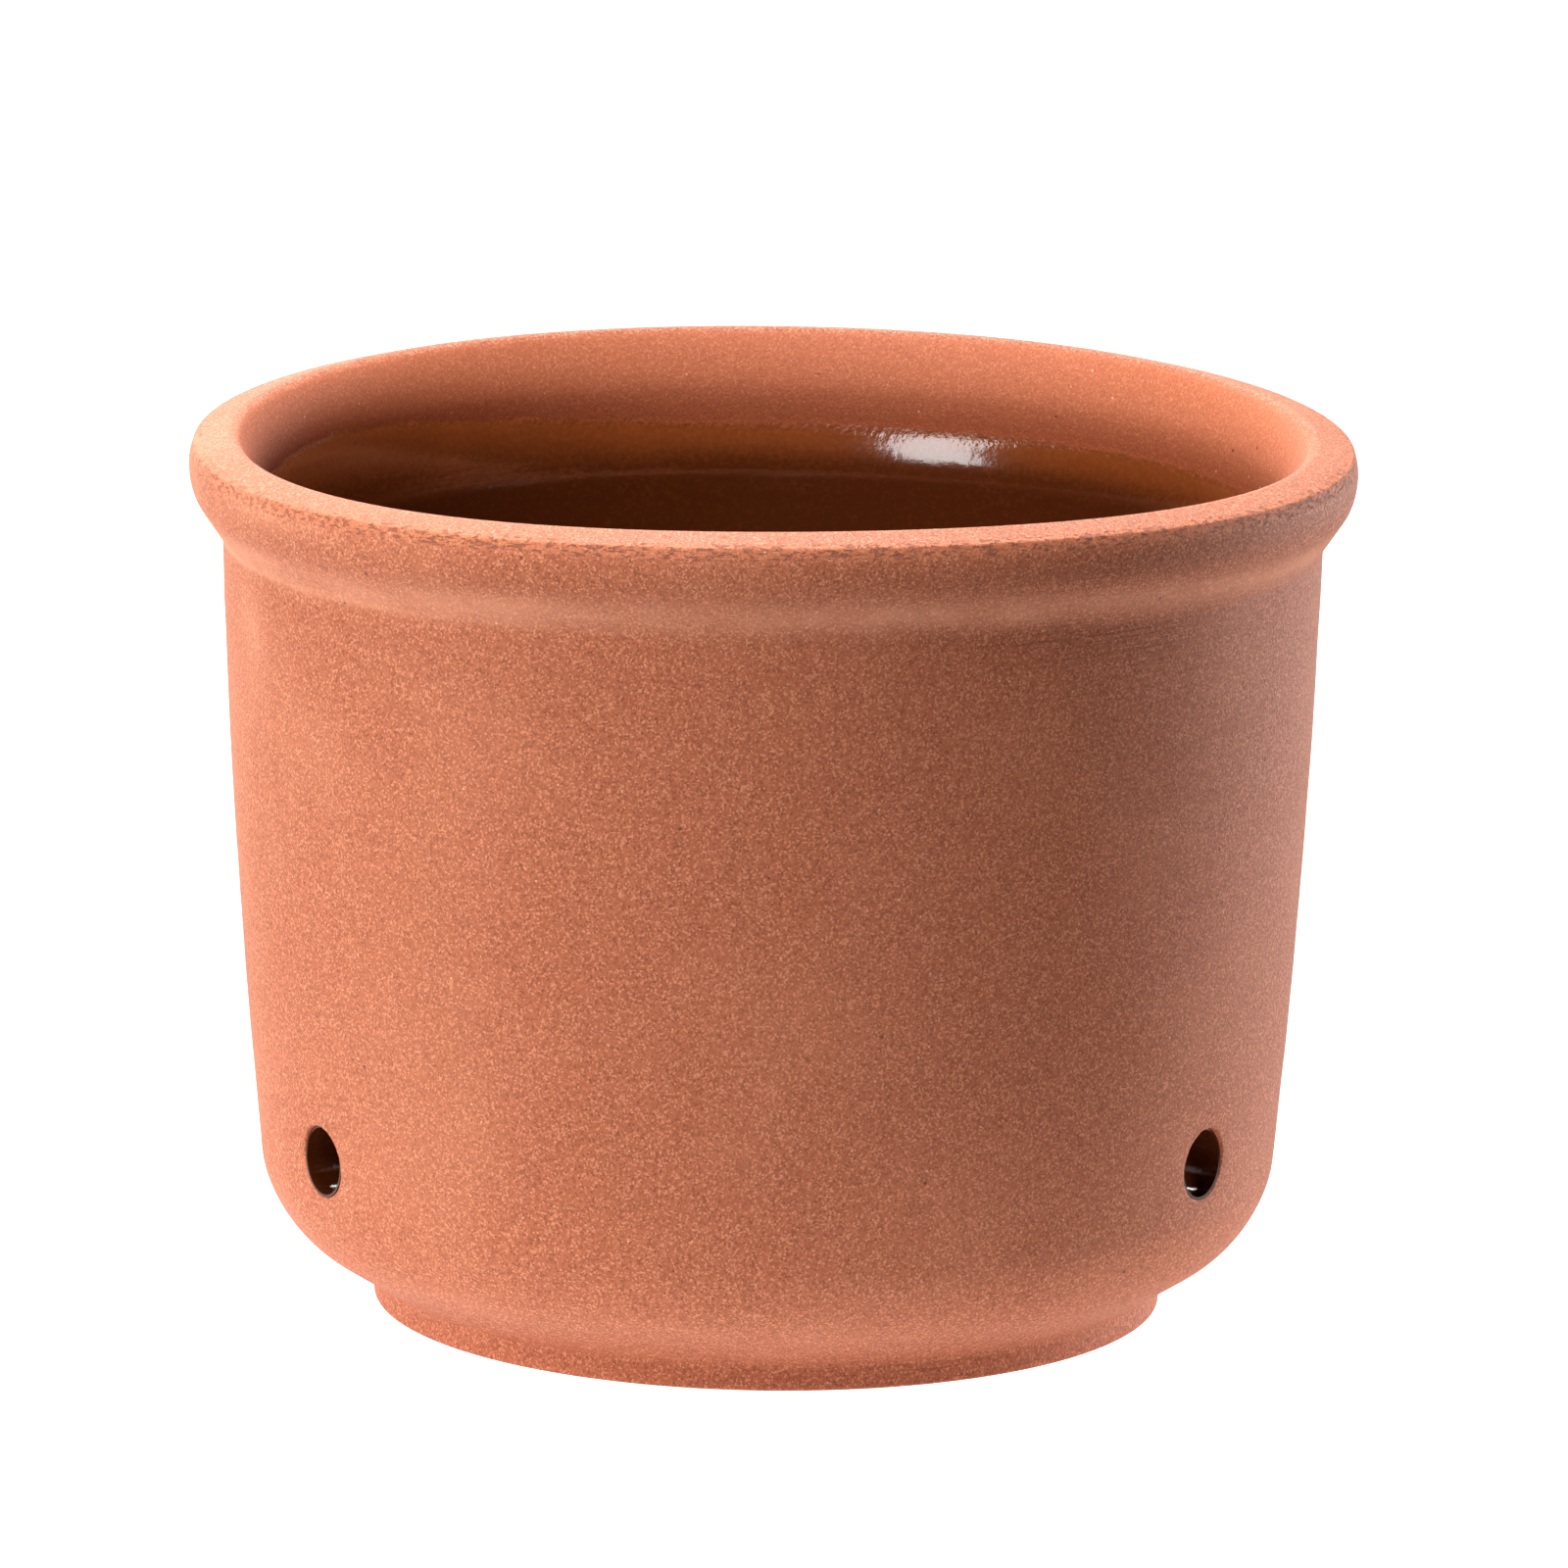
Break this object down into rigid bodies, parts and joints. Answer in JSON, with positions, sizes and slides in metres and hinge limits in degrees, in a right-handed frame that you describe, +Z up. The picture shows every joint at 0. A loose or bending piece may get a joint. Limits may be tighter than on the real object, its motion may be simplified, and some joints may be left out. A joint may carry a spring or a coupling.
{
  "type": "terracotta pot",
  "caption": "Round thrown terracotta pot, bare clay outside and brown glaze inside, with a rolled rim, a turned foot and drainage holes low in its wall.",
  "frame": {"origin": "on the pot's axis, in the plane that its foot stands on", "axes": "+Z up along the pot's turning axis; +Y out through the hole at the back; the other holes are about a third of a turn either way"},
  "size_m": [0.1802, 0.1802, 0.1367],
  "materials": {
    "terracotta": "matte",
    "brown_glaze": "glossy"
  },
  "bodies": {
    "root": {"clay_body": "terracotta", "inner_glaze": "brown_glaze"}
  },
  "joints": []
}
